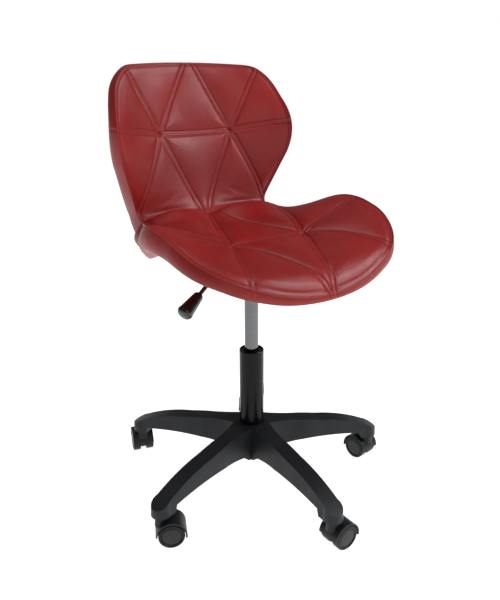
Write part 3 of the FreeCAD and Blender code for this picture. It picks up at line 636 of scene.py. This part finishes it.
def under_outline(pad, out):
    """Where each point of the face's outline meets the underside's outline."""
    q = out.copy()
    if pad is seat_panel:
        y = out[:, 1]
        w = smoothstep((y - 40) / (CREASE_Y - 40))
        yb = y + (UNDER_Y - CREASE_Y) * w
        q[:, 1] = yb
        near = np.abs(out[:, 0]) / np.maximum(np.where(y > -60, seat_x(y), 1), 1)
        q[:, 0] = np.where(y > 0, np.sign(out[:, 0]) * seat_x(yb) * near, out[:, 0])
    else:
        z = out[:, 1]
        w = smoothstep((640 - z) / (640 - CREASE_Z))
        zb = z + (UNDER_Z - CREASE_Z) * w
        q[:, 1] = zb
        near = np.abs(out[:, 0]) / np.maximum(np.where(z < 740, back_x(z), 1), 1)
        q[:, 0] = np.where(z < 680, np.sign(out[:, 0]) * back_x(zb) * near, out[:, 0])
    return q


def closed_pad(pad, M, face, rings, under_rings, bulge=0.0):
    """Closed mesh: the face lattice, the boxing down its side, and the underside."""
    out = pad.outline(M)
    ids = pad.ring_ids(M)
    n = 2 * M + 1
    top_ids = ids[:, 0] * n + ids[:, 1]
    verts = [face.reshape(-1, 3)]
    faces = [grid_faces(M)]
    top = face[ids[:, 0], ids[:, 1]]
    uo = under_outline(pad, out)
    low = pad.point(uo, 0)
    # outward direction in the outline's plane
    d = np.roll(out, -1, 0) - np.roll(out, 1, 0)
    nrm = np.stack([d[:, 1], -d[:, 0]], -1)
    nrm /= np.maximum(np.linalg.norm(nrm, axis=1, keepdims=True), 1e-9)
    if pad is seat_panel:
        o3 = np.stack([nrm[:, 0], nrm[:, 1], np.zeros(len(nrm))], -1)
    else:
        o3 = np.stack([nrm[:, 0], np.zeros(len(nrm)), nrm[:, 1]], -1)
    if pad is seat_panel:
        waist = smoothstep((out[:, 1] + 95) / 170.0) * smoothstep((np.abs(out[:, 0]) - 100) / 42.0)
        lift = 2.5 * smoothstep((-out[:, 1] - 190) / 25.0) - 9.0 * waist
        full = 5.0 + 8.5 * smoothstep((out[:, 1] + 95) / 170.0)
        full = np.where(out[:, 1] > CREASE_Y - 14, full * smoothstep((np.abs(out[:, 0]) - 100) / 42.0), full)
    else:
        waist = np.zeros(len(out))
        lift = np.full(len(out), -0.8)
        full = 5.0 - 3.5 * smoothstep((625 - out[:, 1]) / 50.0)
    low = pad.point(uo, 0, lift)
    full = full[:, None]
    span = np.linalg.norm(top - low, axis=1, keepdims=True)
    swell = np.minimum(bulge * span * full / 5.0, full)
    swell = swell + (full - swell) * 0.85 * waist[:, None]
    prev = top_ids
    count = n * n
    loops = []
    for t in rings:
        prof = np.sin(math.pi * min(max(t, 0), 1) ** 1.35) ** 0.75 if t < 1 else 0.0
        tuck = -1.6 * math.exp(-((t) / 0.035) ** 2) - 1.0 * max(0.0, (t - 0.93) / 0.07) ** 2
        p = top * (1 - t) + low * t + o3 * (prof * swell + tuck)
        verts.append(p)
        now = np.arange(count, count + len(p))
        faces.append(ring_faces(prev, now))
        prev = now
        count += len(p)
        loops.append(p)
    cu = np.array([[0.0, -40.0]]) if pad is seat_panel else np.array([[0.0, 700.0]])
    for r in under_rings:
        q = cu + (uo - cu) * r
        p = pad.point(q, 0, lift * (1 - smoothstep((1 - r) / (0.045 + 0.10 * waist))))
        verts.append(p)
        now = np.arange(count, count + len(p))
        faces.append(ring_faces(prev, now))
        prev = now
        count += len(p)
    verts.append(pad.point(cu, 0))
    k = np.arange(len(prev))
    tri = np.stack([prev, prev[(k + 1) % len(prev)], np.full(len(prev), count)], -1)
    V = np.vstack(verts)
    F = [f.tolist() for f in faces]
    F = [x for f in F for x in f] + tri.tolist()
    return V, F, loops


def inflate(pad, seams, extra, cap, pressure):
    """Cloth pressure fills each panel between its seams. Returns how far each lattice point moved."""
    M = 44
    P, rho, base, N, depth, near, band, h = build_face(pad, M, seams, extra)
    face = base + N * h[..., None]
    V, F, _ = closed_pad(pad, M, face, (0.12, 0.5, 0.88, 1.0), (0.93, 0.7, 0.35))
    o = mesh_object("sim_" + pad.name, V * 1.0, F)
    n = 2 * M + 1
    pin = np.ones(len(V))
    free = (near > 4.2) & (rho < 0.985)
    soft = np.clip((near - 4.2) / 5.0, 0, 1) * np.clip((0.985 - rho) / 0.03, 0, 1)
    pin[:n * n] = np.where(free, 0.0, 1.0).reshape(-1)
    vg = o.vertex_groups.new(name="pin")
    vg.add([int(i) for i in np.nonzero(pin > 0.5)[0]], 1.0, "REPLACE")
    md = o.modifiers.new("cloth", "CLOTH")
    st = md.settings
    st.quality = 7
    st.mass = 0.25
    st.tension_stiffness = 11
    st.compression_stiffness = 9
    st.shear_stiffness = 5
    st.bending_stiffness = 0.35
    st.tension_damping = 8
    st.compression_damping = 8
    st.shear_damping = 6
    st.bending_damping = 0.6
    st.use_pressure = True
    st.uniform_pressure_force = pressure
    st.effector_weights.gravity = 0
    st.vertex_group_mass = "pin"
    st.pin_stiffness = 1.0
    md.point_cache.frame_start = 1
    md.point_cache.frame_end = 22
    md.collision_settings.use_collision = False
    md.collision_settings.use_self_collision = False
    sc = bpy.context.scene
    for f in range(1, 21):
        sc.frame_set(f)
    dg = bpy.context.evaluated_depsgraph_get()
    ev = o.evaluated_get(dg)
    co = np.zeros(len(V) * 3)
    ev.data.vertices.foreach_get("co", co)
    co = co.reshape(-1, 3)[:n * n] * 1000.0
    move = co.reshape(n, n, 3) - face
    sc.frame_set(1)
    bpy.data.objects.remove(o)
    size = np.linalg.norm(move, axis=-1, keepdims=True)
    print("inflate", pad.name, "largest move", round(float(size.max()), 2), "mm, mean", round(float(size.mean()), 2))
    move = move * (cap * np.tanh(size / cap) / np.maximum(size, 1e-9))
    for _ in range(2):
        q = np.pad(move, ((1, 1), (1, 1), (0, 0)), mode="edge")
        move = 0.25 * q[1:-1, 1:-1] + 0.125 * (q[:-2, 1:-1] + q[2:, 1:-1] + q[1:-1, :-2] + q[1:-1, 2:]) \
            + 0.0625 * (q[:-2, :-2] + q[2:, 2:] + q[:-2, 2:] + q[2:, :-2])
    return move


def stitch_mesh(points, tangents, normals, length, rad):
    """A short rounded stitch at every point."""
    prof = [(-0.5, 0.25), (-0.36, 0.9), (0.0, 1.0), (0.36, 0.9), (0.5, 0.25)]
    ang = np.linspace(0, 2 * math.pi, 7)[:-1]
    b = np.cross(normals, tangents)
    b /= np.maximum(np.linalg.norm(b, axis=1, keepdims=True), 1e-9)
    nn = np.cross(tangents, b)
    vs = []
    for t, r in prof:
        sag = -rad * 1.1 * (abs(t) * 2) ** 2
        for a in ang:
            vs.append(points + tangents * (t * length) + b * (math.cos(a) * rad * r) + nn * (math.sin(a) * rad * r + sag))
    V = np.stack(vs, 1)              # (count, 30, 3)
    k, na = len(prof), len(ang)
    f = []
    for i in range(k - 1):
        for j in range(na):
            f.append((i * na + j, i * na + (j + 1) % na, (i + 1) * na + (j + 1) % na, (i + 1) * na + j))
    f = np.array(f)
    F = (f[None] + (np.arange(len(V)) * V.shape[1])[:, None, None]).reshape(-1, 4).tolist()
    for s in range(len(V)):
        o = s * V.shape[1]
        F.append([o + j for j in range(na)][::-1])
        F.append([o + (k - 1) * na + j for j in range(na)])
    return V.reshape(-1, 3), F


def tube_mesh(path, rad, seg=10):
    """Closed tube round a closed path."""
    n = len(path)
    t = np.roll(path, -1, 0) - np.roll(path, 1, 0)
    t /= np.maximum(np.linalg.norm(t, axis=1, keepdims=True), 1e-9)
    up = np.array([0.0, 0.0, 1.0]) + np.zeros_like(t)
    alt = np.abs(t[:, 2]) > 0.95
    up[alt] = (0, 1, 0)
    a = np.cross(t, up)
    a /= np.linalg.norm(a, axis=1, keepdims=True)
    # keep the frame from flipping along the path
    for i in range(1, n):
        if a[i] @ a[i - 1] < 0:
            a[i] = -a[i]
    b = np.cross(t, a)
    an = np.linspace(0, 2 * math.pi, seg, endpoint=False)
    V = path[:, None] + rad * (np.cos(an)[None, :, None] * a[:, None] + np.sin(an)[None, :, None] * b[:, None])
    i = np.arange(n)[:, None]
    j = np.arange(seg)[None]
    F = np.stack([i * seg + j, ((i + 1) % n) * seg + j, ((i + 1) % n) * seg + (j + 1) % seg, i * seg + (j + 1) % seg], -1)
    return V.reshape(-1, 3), F.reshape(-1, 4).tolist()


def resize_ring(R, n):
    t = np.concatenate([[0], np.cumsum(np.linalg.norm(np.diff(np.vstack([R, R[:1]]), axis=0), axis=1))])
    u = np.linspace(0, t[-1], n, endpoint=False)
    Q = np.vstack([R, R[:1]])
    return np.stack([np.interp(u, t, Q[:, k]) for k in range(3)], -1)


def finish_pad(pad, seams, extra, cap, pressure, mat, bulge):
    M = 132
    P, rho, base, N, depth, near, band, h = build_face(pad, M, seams, extra)
    move = inflate(pad, seams, extra, cap, pressure)
    face = base + N * h[..., None] + upsample(move, 2 * M + 1)
    # stitched bands: a low ridge between two needle lines
    Nf = lattice_normals(face)
    if (Nf[M, M] @ N[M, M]) < 0:
        Nf = -Nf
    groove = np.exp(-((near - 4.6) / 1.25) ** 2)
    ridge = np.exp(-(near / 3.4) ** 4)
    fade = np.clip((near.min() + 400 - near) / 400, 0, 1)
    fine = band * (1.15 * ridge - 1.25 * groove) * fade
    # the buttonless tuft gathers into a small pit
    for line, *_ in seams[:2]:
        r = np.linalg.norm(P - line[0], axis=-1)
        fine = fine * np.clip(r / 9.0, 0.25, 1) - 2.2 * np.exp(-(r / 4.5) ** 2)
        ang = np.arctan2(P[..., 1] - line[0][1], P[..., 0] - line[0][0])
        fine += 0.35 * np.sin(ang * 11 + 0.7) * np.exp(-((r - 13) / 8.0) ** 2)
    # row of stitches just inside the edge pulls the face down a little
    per = np.minimum(np.abs(1 - rho) * 190.0, 60)
    fine += -0.8 * np.exp(-((per - 6.0) / 1.5) ** 2) + 0.5 * np.exp(-((per - 2.8) / 2.0) ** 2)
    face = face + Nf * fine[..., None]
    rings = (0.02, 0.045, 0.08, 0.14, 0.22, 0.32, 0.43, 0.55, 0.67, 0.78, 0.87, 0.93, 0.97, 1.0)
    under = (0.985, 0.96, 0.92, 0.85, 0.76, 0.65, 0.52, 0.38, 0.22, 0.1)
    V, F, loops = closed_pad(pad, M, face, rings, under, bulge)
    o = mesh_object(pad.name, V, F)
    o.data.materials.append(MAT[mat])
    # make sure normals face out
    import bmesh
    bm = bmesh.new()
    bm.from_mesh(o.data)
    bmesh.ops.recalc_face_normals(bm, faces=bm.faces)
    bm.to_mesh(o.data)
    bm.free()
    # stitches along both needle lines of each seam
    pts, tan, nor = [], [], []
    for line, d0, dm, d1, st in seams:
        line = resample(np.array(line), 120)
        L = np.sum(np.linalg.norm(np.diff(line, axis=0), axis=1))
        k = max(4, int(L / 4.6))
        c = resample(line, k)
        t = np.gradient(c, axis=0)
        t /= np.linalg.norm(t, axis=1, keepdims=True)
        nn = np.stack([-t[:, 1], t[:, 0]], -1)
        for side in (-1, 1):
            q = c + nn * 4.6 * side
            keep = (np.linalg.norm(q - line[0], axis=1) > 8) & (np.linalg.norm(q - line[-1], axis=1) > 5)
            uv = pad.to_lattice(q)
            keep &= np.max(np.abs(uv), axis=-1) < 0.975
            p3 = sample(face, uv)
            uv2 = pad.to_lattice(q + t * 1.0)
            t3 = sample(face, uv2) - p3
            t3 /= np.maximum(np.linalg.norm(t3, axis=1, keepdims=True), 1e-9)
            n3 = sample(Nf, uv)
            n3 /= np.maximum(np.linalg.norm(n3, axis=1, keepdims=True), 1e-9)
            pts.append((p3 + n3 * 0.28)[keep])
            tan.append(t3[keep])
            nor.append(n3[keep])
    # and just inside the edge
    out = pad.outline(M)
    loop = resize_ring(np.column_stack([out, np.zeros(len(out))]), int(len(out) * (0.27)))[:, :2]
    q = pad.c + (loop - pad.c) * (1 - 6.0 / 190.0)
    t = np.roll(q, -1, 0) - np.roll(q, 1, 0)
    t /= np.linalg.norm(t, axis=1, keepdims=True)
    uv = pad.to_lattice(q)
    p3 = sample(face, uv)
    t3 = sample(face, pad.to_lattice(q + t)) - p3
    t3 /= np.maximum(np.linalg.norm(t3, axis=1, keepdims=True), 1e-9)
    n3 = sample(Nf, uv)
    n3 /= np.maximum(np.linalg.norm(n3, axis=1, keepdims=True), 1e-9)
    pts.append(p3 + n3 * 0.3)
    tan.append(t3)
    nor.append(n3)
    SV, SF = stitch_mesh(np.vstack(pts), np.vstack(tan), np.vstack(nor), 3.1, 0.42)
    s = mesh_object(pad.name + "_stitching", SV, SF)
    s.data.materials.append(MAT["thread"])
    # welt round the edge of the face
    ids = pad.ring_ids(M)
    edge = face[ids[:, 0], ids[:, 1]]
    en = Nf[ids[:, 0], ids[:, 1]]
    d = np.roll(out, -1, 0) - np.roll(out, 1, 0)
    nrm = np.stack([d[:, 1], -d[:, 0]], -1)
    nrm /= np.maximum(np.linalg.norm(nrm, axis=1, keepdims=True), 1e-9)
    if pad is seat_panel:
        o3 = np.stack([nrm[:, 0], nrm[:, 1], np.zeros(len(nrm))], -1)
    else:
        o3 = np.stack([nrm[:, 0], np.zeros(len(nrm)), nrm[:, 1]], -1)
    path = resize_ring(edge + o3 * 0.1 - en * 0.2, 700)
    path = np.stack([np.convolve(np.concatenate([path[-3:, k], path[:, k], path[:3, k]]), np.ones(7) / 7, "valid") for k in range(3)], -1)
    WV, WF = tube_mesh(path, 1.45)
    w = mesh_object(pad.name + "_welt", WV, WF)
    w.data.materials.append(MAT[mat])
    return o, s, w


seat_pad, seat_stitch, seat_welt = finish_pad(seat_panel, SEAT_SEAMS, seat_extra, 9.0, 7.0, "seat_leather", 0.12)
back_pad, back_stitch, back_welt = finish_pad(back_panel, BACK_SEAMS, back_extra, 6.0, 4.0, "back_leather", 0.12)
for o, slot_name in ((seat_pad, "seat_leather"), (seat_stitch, "seat_leather"), (seat_welt, "seat_leather"),
                     (back_pad, "back_leather"), (back_stitch, "back_leather"), (back_welt, "back_leather")):
    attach(o, "seat")
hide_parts("seat_cover", "seat_foam")
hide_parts("back_cover", "back_foam")

# ------------------------------------------------------------------ floor, camera and light
fl = bpy.data.meshes.new("floor")
fl.from_pydata([(-40, -40, 0), (40, -40, 0), (40, 40, 0), (-40, 40, 0)], [], [(0, 1, 2, 3)])
floor = bpy.data.objects.new("floor", fl)
bpy.context.scene.collection.objects.link(floor)
fm, fnt, fb = new_mat("m_floor", (0.86, 0.86, 0.86), 0.6)
fv = tex_coord(fnt)
fnt.links.new(ramp(fnt, noise(fnt, fv, 3.0, 2.0), [(0.3, (0.63, 0.63, 0.63)), (0.7, (0.65, 0.65, 0.65))]), fb.inputs["Base Color"])
fb.inputs["Emission Color"].default_value = (1, 1, 1, 1)
fb.inputs["Emission Strength"].default_value = 0.92
fl.materials.append(fm)

cam_data = bpy.data.cameras.new("camera")
cam = bpy.data.objects.new("camera", cam_data)
bpy.context.scene.collection.objects.link(cam)
fwd = Vector((0.566029, 0.753865, -0.333614))
right = Vector((0.799509, -0.600653, 0.0))
up = Vector((0.200386, 0.266727, 0.942709))
roll = -0.004
r2 = right * math.cos(roll) + up * math.sin(roll)
u2 = up * math.cos(roll) - right * math.sin(roll)
rot = Matrix((r2, u2, -fwd)).transposed()
cam.matrix_world = Matrix.Translation((-0.718163, -0.951577, 0.829913)) @ rot.to_4x4()
cam_data.sensor_width = 36
cam_data.sensor_height = 36
cam_data.sensor_fit = "VERTICAL"
cam_data.lens = 38.16
cam_data.clip_start = 0.05
cam_data.clip_end = 60
bpy.context.scene.camera = cam


def area(name, loc, target, size, power, color=(1, 1, 1)):
    d = bpy.data.lights.new(name, "AREA")
    d.shape = "RECTANGLE"
    d.size, d.size_y = size
    d.energy = power
    d.color = color
    o = bpy.data.objects.new(name, d)
    bpy.context.scene.collection.objects.link(o)
    o.location = loc
    o.rotation_euler = (Vector(target) - Vector(loc)).to_track_quat("-Z", "Y").to_euler()
    return o


area("key", (1.75, -1.45, 1.95), (0, -0.05, 0.45), (1.25, 1.25), 46, (0.97, 0.985, 1.0))
area("fill", (-0.6, -2.4, 1.4), (0, 0, 0.4), (1.2, 1.2), 7)
area("top", (-0.3, 0.1, 2.8), (0, 0, 0.5), (1.6, 1.6), 22)
world = bpy.data.worlds.new("world")
bpy.context.scene.world = world
world.use_nodes = True
world.node_tree.nodes["Background"].inputs["Color"].default_value = (1, 1, 1, 1)
wn = world.node_tree
wb = wn.nodes["Background"]
wb.inputs["Strength"].default_value = 0.16
seen = wn.nodes.new("ShaderNodeBackground")
seen.inputs["Color"].default_value = (1, 1, 1, 1)
seen.inputs["Strength"].default_value = 1.0
path = wn.nodes.new("ShaderNodeLightPath")
wmix = wn.nodes.new("ShaderNodeMixShader")
wn.links.new(path.outputs["Is Camera Ray"], wmix.inputs["Fac"])
wn.links.new(wb.outputs["Background"], wmix.inputs[1])
wn.links.new(seen.outputs["Background"], wmix.inputs[2])
wn.links.new(wmix.outputs["Shader"], wn.nodes["World Output"].inputs["Surface"])
bpy.context.scene.view_settings.view_transform = "Standard"
